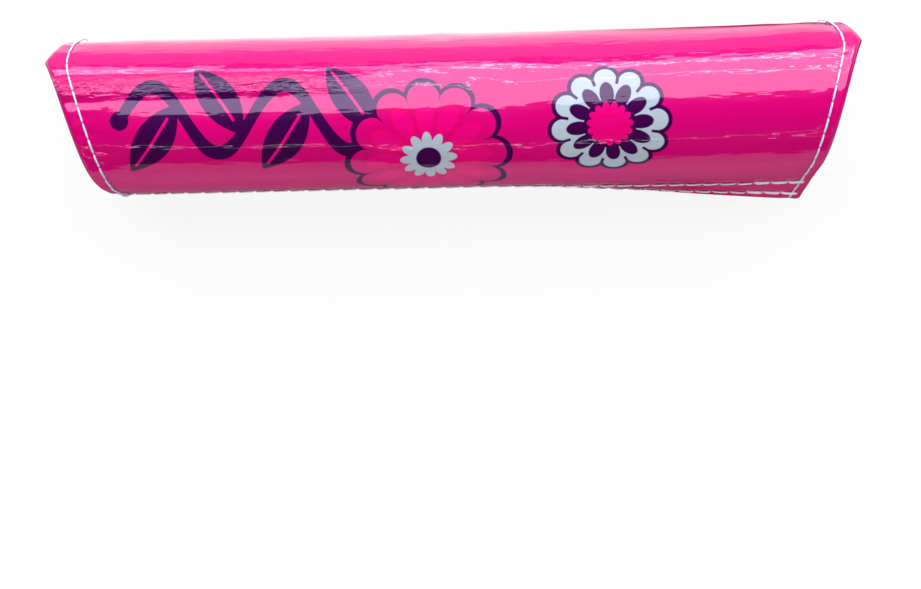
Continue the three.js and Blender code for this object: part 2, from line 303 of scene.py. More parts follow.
def vinyl_relief(skin, stitches, arc, x):
    """How much deeper than the plain sandwich the outer face of the vinyl lies."""
    sheet = skin.sheet
    inset = sheet.end_inset(arc, x)
    along_end = np.abs(arc - sheet.tip_arc) * sheet.slant
    side = np.where(x < 0, -1.0, 1.0)
    beside_row = np.abs(sheet.end_row(arc, side, stitches.end_inset)) - np.abs(x)
    pulled = groove(beside_row, stitches.pull_width) * beat(along_end, stitches.pitch)
    for row in (stitches.inner_row, stitches.outer_row):
        beside = groove(sheet.flap_inset(arc) - row, stitches.pull_width)
        pulled = np.maximum(pulled, beside * beat(x, stitches.pitch))
    relief = stitches.pull * pulled

    # Puckers run square to a row of stitches and fade away from it
    fade = np.exp(-np.abs(beside_row) / PUCKER_FADE)
    wander = PUCKER_WANDER * soft_noise(x, arc, PUCKER_WAVES, seed=3)
    pucker = np.sin(2 * math.pi * along_end / stitches.pitch + wander)
    relief = relief + (PUCKER_DEPTH + PUCKER_MORE_LEFT * (x < 0)) * fade * pucker

    # Long ripples of the film fade out at the ends
    ripple = RIPPLE_DEPTH * soft_noise(x, arc, RIPPLE_WAVES, seed=11)
    fine = FINE_DEPTH * soft_noise(x, arc, FINE_WAVES, seed=29, waves=9)
    relief = relief + (ripple + fine) * np.clip((inset - RIPPLE_START) / RIPPLE_EASE, 0, 1)

    # The tight end of the roll bulges a little in front of its highest line
    bulge = groove(arc - sheet.arc_of_angle(BULGE_ANGLE), BULGE_WIDTH)
    bulge = bulge * shoulder((inset - BULGE_START) / BULGE_EASE)
    relief = relief - BULGE_DEPTH * bulge * shoulder((BULGE_END - x) / BULGE_FADE)

    # It stays flat where it lies on the table
    beside_flat = np.abs(arc - sheet.arc_of_angle(-math.pi)) - sheet.s.flat_width / 2
    return relief - skin.swelling(arc, x) * shoulder(beside_flat / TABLE_EASE)


# Cloth simulation of the padded vinyl, on a grid at the scale of garments, for which the solver is made
SKIN_ROWS = 76
SKIN_COLUMNS = 118
SKIN_SCALE = 10.0
SKIN_FRAMES = 20
SKIN_CAP = 0.8 * MM
SKIN_ROUGHNESS = 0.05 * MM
SKIN_BLURS = 3
SEWN_BESIDE_END_ROW = 1.5 * MM
SEWN_BESIDE_FLAP_ROW = 0.8 * MM
CLOTH_SETTINGS = {
    "quality": 8,
    "mass": 0.3,
    "tension_stiffness": 15,
    "compression_stiffness": 15,
    "shear_stiffness": 8,
    "bending_stiffness": 4,
    "use_pressure": True,
    "uniform_pressure_force": 3,
    "shrink_min": -0.003,
    "vertex_group_mass": "sewn",
}


class Skin:
    """How far the vinyl moved outwards when the padding pressed on it between its seams."""

    def __init__(self, sheet, moved=None):
        self.sheet = sheet
        self.moved = moved

    def swelling(self, arc, x):
        if self.moved is None:
            return 0 * arc
        side = x / self.sheet.half_length(arc, np.sign(x))
        row, row_weights = spline_weights(arc / self.sheet.width, SKIN_ROWS)
        column, column_weights = spline_weights((side + 1) / 2, SKIN_COLUMNS)
        total = 0
        for i, row_weight in enumerate(row_weights):
            for j, column_weight in enumerate(column_weights):
                total = total + row_weight * column_weight * self.moved[row + i - 1, column + j - 1]
        return total


def spline_weights(share, count):
    """The middle one of three neighbours on an even grid, and the weights that join them smoothly."""
    place = np.clip(share, 0, 1) * (count - 1)
    nearest = np.clip(np.rint(place), 1, count - 2).astype(int)
    off = np.clip(place - nearest, -0.5, 0.5)
    return nearest, ((0.5 - off) ** 2 / 2, 0.75 - off**2, (0.5 + off) ** 2 / 2)


def settle_skin(context, sheet, stitches):
    """Press the vinyl out between its seams with Blender's Cloth, on a coarse copy of its outer face."""
    sides = np.linspace(-1, 1, SKIN_COLUMNS)[None, :]
    arc = np.linspace(0, sheet.width, SKIN_ROWS)[:, None] + 0 * sides
    x = sides * sheet.half_length(arc, np.sign(sides))
    inset = sheet.end_inset(arc, x)
    outer, _ = sheet.depths(arc, inset)
    free = (inset > stitches.end_inset + SEWN_BESIDE_END_ROW) & (arc < sheet.back_arc)
    free &= arc > stitches.inner_row + SEWN_BESIDE_FLAP_ROW
    rough = np.random.default_rng(5).normal(0, SKIN_ROUGHNESS, arc.shape) * free
    face = sheet.roll(arc, x, outer)
    normal = face - sheet.roll(arc, x, outer + MM)
    normal /= np.linalg.norm(normal, axis=-1, keepdims=True)
    start = (face + normal * rough[..., None]) * SKIN_SCALE
    skin = add_mesh("skin", start.reshape(-1, 3), grid_faces(SKIN_ROWS, SKIN_COLUMNS))
    pinned = skin.vertex_groups.new(name="sewn")
    pinned.add([int(i) for i in np.flatnonzero(~free)], 1.0, "REPLACE")
    cloth = skin.modifiers.new("cloth", "CLOTH")
    for key, value in CLOTH_SETTINGS.items():
        setattr(cloth.settings, key, value)
    cloth.settings.effector_weights.gravity = 0
    cloth.collision_settings.use_collision = False
    cloth.point_cache.frame_end = SKIN_FRAMES
    for step in range(1, SKIN_FRAMES + 1):
        context.scene.frame_set(step)
    bpy.ops.object.select_all(action="DESELECT")
    skin.select_set(True)
    context.view_layer.objects.active = skin
    bpy.ops.object.modifier_apply(modifier="cloth")
    context.scene.frame_set(1)
    settled = np.array([v.co[:] for v in skin.data.vertices]).reshape(start.shape)
    bpy.data.meshes.remove(skin.data)
    moved = ((settled - start) / SKIN_SCALE * normal).sum(axis=-1) + rough
    for _ in range(SKIN_BLURS):
        moved[:, 1:-1] = (moved[:, :-2] + 2 * moved[:, 1:-1] + moved[:, 2:]) / 4
    return Skin(sheet, np.clip(moved, -SKIN_CAP, SKIN_CAP))


# Steps of the grids, in shares of the mesh step
HEM_STEP = 0.7
MIDDLE_STEP = 1.35
LAYER_STEP = 1.5

# Two close lines keep the end of a hem sharp, and the lines of the padding start after them
FOLD_STEP = 0.03 * MM
FOLD_TOLERANCE = 0.01 * MM
AFTER_FOLD = 0.12 * MM
AFTER_HEM = 0.5 * MM

# Corners this close together are merged
SAME_PLACE = 0.002 * MM

# Room round the lining, and the share of the gap that a tape leaves to its flap
LINING_ROOM = 0.08 * MM
TAPE_ROOM = 0.1


def spread(start, end, step):
    count = max(1, int(math.ceil((end - start) / step - 0.001)))
    return list(start + (end - start) * np.arange(count) / count)


def rounded_border(half_thickness, steps=5):
    """Distances from an edge that round it off: dense at the very edge."""
    turn = np.arange(steps) * (math.pi / 2) / steps
    return list(half_thickness * (1 - np.cos(turn)))


def edge_share(inset, half_thickness):
    """Share of the thickness that a rounded edge still has at a distance from the edge."""
    return np.sqrt(np.clip(1 - (1 - np.clip(inset / half_thickness, 0, 1)) ** 2, 0, 1))


def hem_lines(sheet, hem):
    """Distances from an edge to the end of its hem."""
    half = sheet.hem_thickness / 2
    lines = rounded_border(half) + spread(half, hem, sheet.s.mesh_step * HEM_STEP)
    return lines + [hem, hem + FOLD_STEP]


def grid_faces(rows, columns, flip=False, offset=0):
    index = np.arange(rows * columns).reshape(rows, columns) + offset
    corners = [index[:-1, :-1], index[:-1, 1:], index[1:, 1:], index[1:, :-1]]
    quads = np.stack(corners, axis=-1).reshape(-1, 4)
    return quads[:, ::-1] if flip else quads


def closed_sandwich(outer, inner):
    """Vertices and faces of a closed body from its outer and inner grid of points."""
    rows, columns = outer.shape[:2]
    count = rows * columns
    vertices = np.concatenate([outer.reshape(-1, 3), inner.reshape(-1, 3)])
    faces = [grid_faces(rows, columns), grid_faces(rows, columns, True, count)]
    index = np.arange(count).reshape(rows, columns)
    border = np.concatenate([index[0, :-1], index[:-1, -1], index[-1, :0:-1], index[:0:-1, 0]])
    following = np.roll(border, -1)
    faces.append(np.stack([following, border, border + count, following + count], axis=-1))
    return vertices, np.concatenate(faces)


def add_mesh(name, vertices, faces, material=None, uv=None, merge=0.0):
    """A new smooth-shaded object at the origin, with its place in its mesh."""
    mesh = bpy.data.meshes.new(name)
    mesh.from_pydata([tuple(v) for v in vertices], [], [tuple(int(i) for i in f) for f in faces])
    if uv is not None:
        layer = mesh.uv_layers.new(name="sheet")
        corners = np.empty(len(mesh.loops), dtype=np.int32)
        mesh.loops.foreach_get("vertex_index", corners)
        layer.data.foreach_set("uv", uv[corners].ravel())
    mesh.update()
    built = bmesh.new()
    built.from_mesh(mesh)
    if merge:
        bmesh.ops.remove_doubles(built, verts=built.verts, dist=merge)
    bmesh.ops.recalc_face_normals(built, faces=built.faces)
    built.to_mesh(mesh)
    built.free()
    if material is not None:
        mesh.materials.append(material)
    mesh.shade_smooth()
    piece = bpy.data.objects.new(name, mesh)
    bpy.context.scene.collection.objects.link(piece)
    return piece


# Metres of the sheet that one unit of the map holds, and the map's margin before the front edge
UV_SPAN = 0.3
UV_MARGIN = 0.1


def sheet_uv(arc, x):
    return np.stack([x / UV_SPAN + 0.5, arc / UV_SPAN + UV_MARGIN], axis=-1).reshape(-1, 2)


def add_layer(sheet, name, arc, x, top, bottom, material, merge=0.0):
    """A closed piece between two depths of the rolled sheet, with its map."""
    vertices, faces = closed_sandwich(sheet.roll(arc, x, top), sheet.roll(arc, x, bottom))
    uv = np.concatenate([sheet_uv(arc, x)] * 2)
    return add_mesh(name, vertices, faces, material, uv, merge)


# Materials
def math_node(operation, turned=False):
    """A method of Field that makes one math node from a field and the values beside it."""
    def make(field, *others):
        values = (*others, field) if turned else (field, *others)
        return field.shading.math(operation, *values)
    return make


class Field:
    """A number that varies over a surface, so that a pattern of math nodes reads like a formula."""

    def __init__(self, shading, socket):
        self.shading = shading
        self.socket = socket

    __add__ = __radd__ = math_node("ADD")
    __sub__ = math_node("SUBTRACT")
    __rsub__ = math_node("SUBTRACT", turned=True)
    __mul__ = __rmul__ = math_node("MULTIPLY")
    __truediv__ = math_node("DIVIDE")
    __pow__ = math_node("POWER")
    __abs__ = math_node("ABSOLUTE")
    root = math_node("SQRT")
    sine = math_node("SINE")
    cosine = math_node("COSINE")
    angle_to = math_node("ARCTAN2")
    fraction = math_node("FRACT")
    larger = math_node("MAXIMUM")
    smaller = math_node("MINIMUM")


class Shading:
    """Short forms for the shader nodes of a new material or world."""

    def __init__(self, owner, shader="Principled BSDF"):
        owner.use_nodes = True
        self.owner = owner
        self.nodes = owner.node_tree.nodes
        self.links = owner.node_tree.links
        self.shader = self.nodes[shader]

    def node(self, kind, **settings):
        made = self.nodes.new(kind)
        for key, value in settings.items():
            setattr(made, key, value)
        return made

    def feed(self, socket, value):
        if isinstance(value, Field):
            value = value.socket
        if isinstance(value, bpy.types.NodeSocket):
            self.links.new(value, socket)
        else:
            socket.default_value = value

    def made_with(self, kind, sockets, **settings):
        """A new node whose sockets, named or numbered, get these values."""
        made = self.node(kind, **settings)
        for key, value in sockets.items():
            self.feed(made.inputs[key], value)
        return made

    def math(self, operation, *values, clamp=False):
        sockets = dict(enumerate(values))
        made = self.made_with("ShaderNodeMath", sockets, operation=operation, use_clamp=clamp)
        return Field(self, made.outputs[0])

    def parts(self, vector):
        """The x, y and z of a vector."""
        made = self.made_with("ShaderNodeSeparateXYZ", {0: vector})
        return [Field(self, output) for output in made.outputs]

    def sheet_map(self):
        """The piece's own map, and its two coordinates."""
        uv = self.node("ShaderNodeUVMap", uv_map="sheet").outputs[0]
        return uv, *self.parts(uv)[:2]

    def mask(self, field, soft):
        """1 where the field is below zero, with a soft rim."""
        sockets = dict(enumerate((field, -soft, soft, 1.0, 0.0)))
        made = self.made_with("ShaderNodeMapRange", sockets, interpolation_type="SMOOTHSTEP")
        return Field(self, made.outputs[0])

    def mix(self, factor, low, high):
        low, high = ((*c, 1.0) if isinstance(c, tuple) else c for c in (low, high))
        return self.made_with("ShaderNodeMix", {0: factor, 6: low, 7: high}, data_type="RGBA").outputs[2]

    def paint(self, under, shapes, soft):
        """Lay colours over what is under them, each where its field is below zero."""
        for field, colour in shapes:
            under = self.mix(self.mask(field, soft), under, tuple(colour))
        return under

    def noise(self, vector, scale, detail=2.0, roughness=0.5, stretch=None):
        if stretch:
            sockets = {"Vector": vector, "Scale": (*stretch, 1.0)}
            vector = self.made_with("ShaderNodeMapping", sockets).outputs[0]
        sockets = {"Vector": vector, "Scale": scale, "Detail": detail, "Roughness": roughness}
        return Field(self, self.made_with("ShaderNodeTexNoise", sockets).outputs["Fac"])

    def bump(self, height, strength, distance, normal=None):
        sockets = {"Height": height, "Strength": strength, "Distance": distance}
        if normal is not None:
            sockets["Normal"] = normal
        return self.made_with("ShaderNodeBump", sockets).outputs[0]

    def set(self, **sockets):
        for key, value in sockets.items():
            self.feed(self.shader.inputs[key.replace("_", " ")], value)


def petal_field(radial, tangential, centre, slope):
    """Below zero inside a petal: a wedge from the flower's middle with a round end."""
    beyond = (radial - centre).larger(0.0)
    reach = (beyond ** 2.0 + tangential ** 2.0).root()
    return reach - radial.smaller(centre) * slope


def oval_field(radial, tangential, centre, half_long, half_wide):
    along = (radial - centre) / half_long
    across = tangential / half_wide
    return ((along ** 2.0 + across ** 2.0).root() - 1.0) * half_wide


FLOWER_PETALS = 12
FLOWER_DRAWN = 0.24


def flower_polar(across, up, place, radius, turn):
    """Radius, place within one petal's sector and angle, of a point in flower radii.

    The stretched vinyl of the steep front draws the lower half of a flower together.
    """
    px = (across - place[0]) / radius
    py = (up - place[1]) / radius
    py = py * (1.0 - py.smaller(0.0) * FLOWER_DRAWN)
    reach = (px ** 2.0 + py ** 2.0).root()
    angle = py.angle_to(px) + turn
    sector = 2 * math.pi / FLOWER_PETALS
    local = ((angle / sector + 0.5).fraction() - 0.5) * sector
    return reach, reach * local.cosine(), reach * local.sine(), angle


def scallops(angle, lobes, notch, height):
    """Reach of a rosette with round lobes and sharp notches."""
    wave = abs((angle * (lobes / 2)).cosine())
    return wave ** 0.75 * height + notch


def paint_white_flower(s, across, up, under, colours, place, radius):
    """A daisy of white petals with dark outlines, dark inner petals and a pink rosette."""
    outline_width = 0.066
    petals_start = 0.66
    eye_radius = 0.415
    ring_radius = 0.16
    half_ring = 0.009
    reach, radial, tangential, angle = flower_polar(across, up, place, radius, turn=-0.085)
    petal = petal_field(radial, tangential, centre=0.745, slope=0.231)
    inner = oval_field(radial, tangential, centre=0.5, half_long=0.19, half_wide=0.113)
    shapes = (
        (petal - outline_width, colours.dark),
        (petal.smaller(reach - petals_start), colours.white),
        (inner, colours.dark),
        (reach - eye_radius, colours.dark),
        (reach - scallops(angle, lobes=15, notch=0.295, height=0.075), colours.bright),
        (abs(reach - ring_radius) - half_ring, colours.line),
    )
    return s.paint(under, shapes, soft=0.007)


def paint_pink_flower(s, across, up, under, colours, place, radius):
    """A larger daisy of pink petals with dark outlines, bright inner petals and a white rosette."""
    petals_start = 0.72
    rim_start = 0.62
    rim_growth = 0.11
    rim_inset = 0.01
    notch_start = 0.66
    half_line = 0.006
    eye_radius = 0.145
    reach, radial, tangential, angle = flower_polar(across, up, place, radius, turn=-0.07)
    petal = petal_field(radial, tangential, centre=0.735, slope=0.262)
    inner = oval_field(radial, tangential, centre=0.52, half_long=0.2, half_wide=0.105)
    rim = abs(petal - rim_inset) - (reach - rim_start) * rim_growth
    shapes = (
        (petal.smaller(reach - petals_start), colours.ground),
        (rim.larger(notch_start - reach), colours.dark),
        (inner, colours.bright),
        (abs(inner) - half_line, colours.line),
        (reach - scallops(angle, lobes=12, notch=0.215, height=0.115), colours.white),
        (reach - eye_radius, colours.dark),
    )
    return s.paint(under, shapes, soft=0.006)


# The vine: its wavy stem, and leaves by turns above and below it
VINE_SOFT = 0.13 * MM
VINE_WAVE = 37 * MM
VINE_SWING = 9.5 * MM
STEM_HALF = 1.85 * MM
STEM_SWELLING = 0.35 * MM
STEM_CAP = 2.6 * MM
LEAF_SLANT = math.radians(56)
LEAF_HALF_LENGTH = 12 * MM
LEAF_HALF_WIDTH = 5.2 * MM
LEAF_SHIFT = 0.2 * MM
LEAF_DROP = 5.6 * MM
VEIN_HALF = 0.4 * MM
VEIN_INSET = 1.7 * MM
VEIN_END = 0.62
LEAVES = ((1.0, 0.25, -5 * MM), (-1.0, 0.75, 8 * MM))


def paint_vine(s, across, up, under, colours, middle, start, end):
    """A bold dark wavy stem with pointed leaves that grow from it by turns."""
    turn = (across - start) * (2 * math.pi / VINE_WAVE)
    steep = turn.cosine() * (2 * math.pi * VINE_SWING / VINE_WAVE)
    beside = abs(up - (middle + turn.sine() * VINE_SWING)) / (steep ** 2.0 + 1.0).root()
    stem = beside - STEM_HALF + (turn * 2.0).cosine() * STEM_SWELLING
    stem = stem.larger((start - across).larger(across - end))
    cap = ((across - start) ** 2.0 + (up - middle) ** 2.0).root() - STEM_CAP
    under = s.paint(under, [(stem.smaller(cap), colours.dark)], VINE_SOFT)
    for side, share, margin in LEAVES:
        cell = (across - (start + (share - 0.5) * VINE_WAVE)) / VINE_WAVE
        px = (cell.fraction() - 0.5) * VINE_WAVE - LEAF_SHIFT
        py = (up - middle) * side + LEAF_DROP
        along = px * math.cos(LEAF_SLANT) + py * math.sin(LEAF_SLANT)
        beside = abs(py * math.cos(LEAF_SLANT) - px * math.sin(LEAF_SLANT))
        leaf = beside - (1.0 - (along / LEAF_HALF_LENGTH) ** 2.0) * LEAF_HALF_WIDTH
        beyond = ((start + margin) - across).larger(across - end)
        inside = (leaf + VEIN_INSET).larger(beyond).larger(along - VEIN_END * LEAF_HALF_LENGTH)
        vein = (beside - VEIN_HALF).larger(inside)
        under = s.paint(under, [(leaf.larger(beyond), colours.dark), (vein, colours.bright)], VINE_SOFT)
    return under


# Where the print lies: places along the pad in metres, and angles on the roll
VINE_ANGLE = math.radians(4)
VINE_ENDS = (-94 * MM, -20 * MM)
PINK_FLOWER = {"x": -7.6 * MM, "angle": math.radians(37.3), "radius": 24.3 * MM}
WHITE_FLOWER = {"x": 43.4 * MM, "angle": math.radians(15), "radius": 17.9 * MM}
DEEPER_GROUND = 0.94

# The crinkled film on the left
CRINKLE_ANGLE = math.radians(-21)
CRINKLE_HALF_WIDTH = 2.6 * MM
CRINKLE_EDGE = 1.8 * MM
CRINKLE_END = -36 * MM
CRINKLE_FADE = 26 * MM


def glossy_vinyl(sheet, colours):
    """Clear-coated, printed vinyl: the print reads the sheet's own map, so it follows the roll."""
    s = Shading(bpy.data.materials.new("printed vinyl"))
    uv, u, v = s.sheet_map()
    across = (u - 0.5) * UV_SPAN
    up = (v - UV_MARGIN) * UV_SPAN
    ground = tuple(colours.ground)
    deeper = tuple(DEEPER_GROUND * c for c in ground)
    colour = s.mix(s.noise(uv, 3.0, stretch=(3.0, 9.0)), deeper, ground)
    colour = paint_vine(s, across, up, colour, colours, sheet.arc_of_angle(VINE_ANGLE), *VINE_ENDS)
    for flower, paint in ((PINK_FLOWER, paint_pink_flower), (WHITE_FLOWER, paint_white_flower)):
        place = (flower["x"], sheet.arc_of_angle(flower["angle"]))
        colour = paint(s, across, up, colour, colours, place, flower["radius"])
    film = s.noise(uv, 2.2, detail=1.6, stretch=(15.0, 70.0))
    peel = s.noise(uv, 3.0, detail=2.0, stretch=(60.0, 90.0))
    crinkle = s.noise(uv, 3.4, detail=3.0, roughness=0.55, stretch=(12.0, 44.0))
    beside = abs(up - sheet.arc_of_angle(CRINKLE_ANGLE)) - CRINKLE_HALF_WIDTH
    crinkled = s.mask(beside, CRINKLE_EDGE) * s.mask(across - CRINKLE_END, CRINKLE_FADE)
    normal = s.bump(film, strength=0.36, distance=0.3 * MM)
    normal = s.bump(peel, strength=0.05, distance=0.05 * MM, normal=normal)
    normal = s.bump(crinkle * crinkled, strength=1.0, distance=2.3 * MM, normal=normal)
    rough = s.noise(uv, 2.0, detail=3.0, stretch=(10.0, 30.0)) * 0.1 + 0.24
    s.set(Base_Color=colour, Roughness=rough, Normal=normal, IOR=1.5, Specular_IOR_Level=0.05)
    s.set(Coat_Weight=1.0, Coat_Roughness=0.03, Coat_IOR=1.5, Coat_Normal=normal)
    return s.owner


def knit_material(name, tint, scale, height):
    """Fine knit or weave: rows of small loops from crossed waves on the sheet's map."""
    s = Shading(bpy.data.materials.new(name))
    uv, u, v = s.sheet_map()
    loops = (u * (scale * 2 * math.pi)).sine() * (v * (scale * 2 * math.pi)).sine()
    fuzz = s.noise(uv, scale * 2.5, detail=3.0, roughness=0.6)
    relief = loops + fuzz * 1.2
    # Painted shade: the knit is darker where its relief is low, in the hollows between the loops
    hollow_shade = tuple(0.72 * c for c in tint)
    blend = s.math("ADD", relief * 0.3, 0.45, clamp=True)
    normal = s.bump(relief, strength=0.6, distance=height)
    s.set(Base_Color=s.mix(blend, hollow_shade, tint), Roughness=0.85, Normal=normal, Sheen_Weight=0.25)
    return s.owner


def thread_material(name, shaded, lit):
    """White twisted polyester thread: a fine slanting twist from its own map."""
    s = Shading(bpy.data.materials.new(name))
    _, along, round_it = s.sheet_map()
    twist = ((along * 9.0 + round_it) * (4 * math.pi)).sine()
    blend = s.math("ADD", twist * 0.25, 0.7, clamp=True)
    normal = s.bump(twist, strength=0.5, distance=0.05 * MM)
    s.set(Base_Color=s.mix(blend, shaded, lit), Roughness=0.45, Normal=normal)
    return s.owner


def foam_material():
    """Open cells from a fine Voronoi pattern."""
    s = Shading(bpy.data.materials.new("open foam"))
    place = s.node("ShaderNodeTexCoord").outputs["Object"]
    cells = s.made_with("ShaderNodeTexVoronoi", {"Vector": place, "Scale": 1100.0}).outputs["Distance"]
    # Painted shade: each cell is darker towards its middle, where the bump makes a pit
    colour = s.mix(cells, (0.5, 0.47, 0.38), (0.74, 0.71, 0.6))
    s.set(Base_Color=colour, Roughness=0.95, Normal=s.bump(cells, strength=0.8, distance=0.4 * MM))
    return s.owner


# Sheets of the pad
def end_lines(near, full, shares):
    """Sides and insets of the columns of a grid, from the left end over the middle to the right end."""
    sides = [-1] * len(near) + shares + [1] * len(near)
    insets = near + [full] * len(shares) + near[::-1]
    return np.array(sides)[None, :], np.array(insets)[None, :]


def build_cover(skin, stitches, colours):
    """The vinyl, thin over the padding and turned in at every edge to the thickness of its hems."""
    sheet = skin.sheet
    step = sheet.s.mesh_step
    near = hem_lines(sheet, sheet.s.end_hem)
    near += spread(sheet.s.end_hem + AFTER_FOLD + step * 0.5, sheet.full_inset, step)
    middle = spread(sheet.full_inset, sheet.s.length / 2, step * MIDDLE_STEP)
    side, inset = end_lines(near, sheet.full_inset, list(np.linspace(-1, 1, 2 * len(middle) + 1)))
    rows = hem_lines(sheet, sheet.flap_hem)
    flap_near = rows[::-1]
    keys = [
        sheet.flap_hem + AFTER_HEM,
        sheet.covered_arc + sheet.s.front_swell,
        sheet.tip_arc - sheet.s.tip_skew,
        sheet.tip_arc + sheet.s.tip_skew,
        sheet.back_arc - sheet.s.back_swell,
        sheet.back_arc - AFTER_HEM,
    ]
    for start, end in zip(keys, keys[1:]):
        rows = rows + spread(start, end, step)
    rows = rows + [keys[-1]] + [sheet.width - near_edge for near_edge in flap_near]
    arc = np.array(rows)[:, None]
    x = sheet.place_along(arc, side, inset)
    arc = arc + 0 * x
    inset = inset + 0 * x
    flap = sheet.flap_inset(arc)
    outer, inner = sheet.depths(arc, inset)
    half = sheet.hem_thickness / 2
    share = edge_share(inset, half) * edge_share(flap, half)
    relief = vinyl_relief(skin, stitches, arc, x)
    middle_depth = outer + half
    outer_face = np.where(share < 1, middle_depth - half * share, outer) + relief * share
    turned = (inset < sheet.s.end_hem + FOLD_TOLERANCE) | (flap < sheet.flap_hem + FOLD_TOLERANCE)
    turned_face = np.where(share < 1, middle_depth + half * share, inner)
    inner_face = np.where(turned, turned_face, outer + sheet.s.cover + relief)
    material = glossy_vinyl(sheet, colours)
    return add_layer(sheet, "pad_cover", arc, x, outer_face, inner_face, material, SAME_PLACE)


def build_plain_layer(sheet, name, material, top, bottom, flap_start, end_start):
    """A closed layer between two depths that are given as functions of the outer and inner depth."""
    step = sheet.s.mesh_step * LAYER_STEP
    flap_end = sheet.width - flap_start
    rows = np.array(spread(flap_start, flap_end, step) + [flap_end])[:, None]
    near = spread(end_start, sheet.full_inset, step)
    side, inset = end_lines(near, sheet.full_inset, list(np.linspace(-1, 1, 61)))
    x = sheet.place_along(rows, side, inset)
    arc = rows + 0 * x
    faces = sheet.depths(arc, inset + 0 * x)
    return add_layer(sheet, name, arc, x, top(*faces), bottom(*faces), material)


def lining_cut(sheet):
    """Length, width and area of the flat lining, narrower than the cover because it lies inside."""
    rows = np.linspace(sheet.flap_hem, sheet.back_arc, 80)
    lengths = sum(np.abs(sheet.place_along(rows, side, sheet.s.end_hem)) for side in (-1, 1))
    inner = (sheet.s.bore / 2 + sheet.s.lining) / sheet.radius
    width = (sheet.back_arc - sheet.flap_hem) * inner
    return float(lengths.max()), float(width), float(lengths.mean() * width)


def build_tape(sheet, name, material, start, end, top, bottom):
    """A strip of webbing along a flap, between two depths that are given as functions."""
    rows = np.linspace(start, end, 13)[:, None]
    inset = sheet.s.end_hem + sheet.padding_start
    x = sheet.place_along(rows, np.linspace(-1, 1, 121)[None, :], inset)
    arc = rows + 0 * x
    faces = sheet.depths(arc, inset + 0 * x)
    return add_layer(sheet, name, arc, x, top(*faces), bottom(*faces), material)


# Stitches, in shares of their pitch and of the thread's thickness
STITCH_LENGTH = 0.93
STITCH_CUTS = (-0.42, -0.3, -0.1, 0.1, 0.3, 0.42)
STITCH_LIFT = 0.55
STITCH_DIVE = 0.8
THINNEST = 0.2

# Where rows start from the edges that they run to, and how a flap row's ends are sewn twice
END_ROW_MARGIN = 1.6 * MM
FLAP_ROW_MARGIN = 1.8 * MM
TACK_ENDS = (2.2 * MM, 16 * MM)
TACK_OFFSET = 0.9 * MM
TACK_SLANT = 0.5 * MM
ROUTE_STEP = 0.1 * MM


def model_stitch(stitches):
    """One stitch, modelled once along X: a short thread whose ends taper and dive into the vinyl."""
    bpy.ops.object.select_all(action="DESELECT")
    bpy.ops.mesh.primitive_cylinder_add(
        vertices=8, radius=stitches.thread / 2, depth=stitches.pitch * STITCH_LENGTH,
        rotation=(0, math.pi / 2, 0),
    )
    stitch = bpy.context.object
    bpy.ops.object.transform_apply(location=True, rotation=True, scale=True)
    bpy.ops.object.mode_set(mode="EDIT")
    for share in STITCH_CUTS:
        bpy.ops.mesh.select_all(action="SELECT")
        bpy.ops.mesh.bisect(plane_co=(stitches.pitch * share, 0, 0), plane_no=(1, 0, 0))
    bpy.ops.object.mode_set(mode="OBJECT")
    mesh = stitch.data
    places = np.array([v.co[:] for v in mesh.vertices])
    share = places[:, 0] / (stitches.pitch / 2)
    slim = np.sqrt(np.clip(1.02 - np.abs(share) ** 6, THINNEST, 1))
    places[:, 1:] *= slim[:, None]
    places[:, 2] -= STITCH_DIVE * stitches.thread * np.abs(share) ** 8
    faces = [list(p.vertices) for p in mesh.polygons]
    turn = np.arctan2(places[:, 1], places[:, 2]) / (2 * math.pi)
    uv = np.stack([places[:, 0] / stitches.pitch + 0.5, turn + 0.5], axis=-1)
    bpy.data.meshes.remove(mesh)
    return places, faces, uv


def lay_stitch(skin, stitches, places, route, lengths, along):
    """The vertices of one stitch, laid on a route at places along it."""
    sheet = skin.sheet
    arc, x, face = route
    here_arc = np.interp(along, lengths, arc)
    here_x = np.interp(along, lengths, x)
    before, after = along - ROUTE_STEP, along + ROUTE_STEP
    ahead_arc = np.interp(after, lengths, arc) - np.interp(before, lengths, arc)
    ahead_x = np.interp(after, lengths, x) - np.interp(before, lengths, x)
    size = np.hypot(ahead_arc, ahead_x)
    here_arc = here_arc + places[:, 1] * ahead_x / size
    here_x = here_x - places[:, 1] * ahead_arc / size
    outer, inner = sheet.depths(here_arc, sheet.end_inset(here_arc, here_x))
    lift = places[:, 2] + STITCH_LIFT * stitches.thread
    if face > 0:
        depth = outer + vinyl_relief(skin, stitches, here_arc, here_x) - lift
    else:
        depth = inner + lift
    return sheet.roll(here_arc, here_x, depth)


def lay_stitches(skin, stitches, name, routes, tails, material):
    """Copies of one stitch along routes, and loose ends of thread, as one piece.

    A route is (arcs, places along the pad, face), with face 1 outside and -1 inside.
    """
    places, faces, uv = model_stitch(stitches)
    shapes = []
    for route in routes:
        arc, x, _ = route
        lengths = np.concatenate([[0], np.cumsum(np.hypot(np.diff(arc), np.diff(x)))])
        number = max(1, int(round(lengths[-1] / stitches.pitch)))
        pitch = lengths[-1] / number
        for k in range(number):
            along = (k + 0.5) * pitch + places[:, 0] * pitch / stitches.pitch
            shapes.append((lay_stitch(skin, stitches, places, route, lengths, along), faces, uv))
    shapes += [thread_tail(skin, stitches, *tail) for tail in tails]
    starts = np.cumsum([0] + [len(vertices) for vertices, _, _ in shapes])
    all_faces = [[i + start for i in face] for start, shape in zip(starts, shapes) for face in shape[1]]
    vertices, _, uvs = zip(*shapes)
    return add_mesh(name, np.concatenate(vertices), all_faces, material, np.concatenate(uvs))


def end_route(sheet, stitches, side):
    """The row along an end, which stops short of both flap edges."""
    arc = np.linspace(END_ROW_MARGIN, sheet.width - END_ROW_MARGIN, 400)
    return arc, sheet.end_row(arc, side, stitches.end_inset)


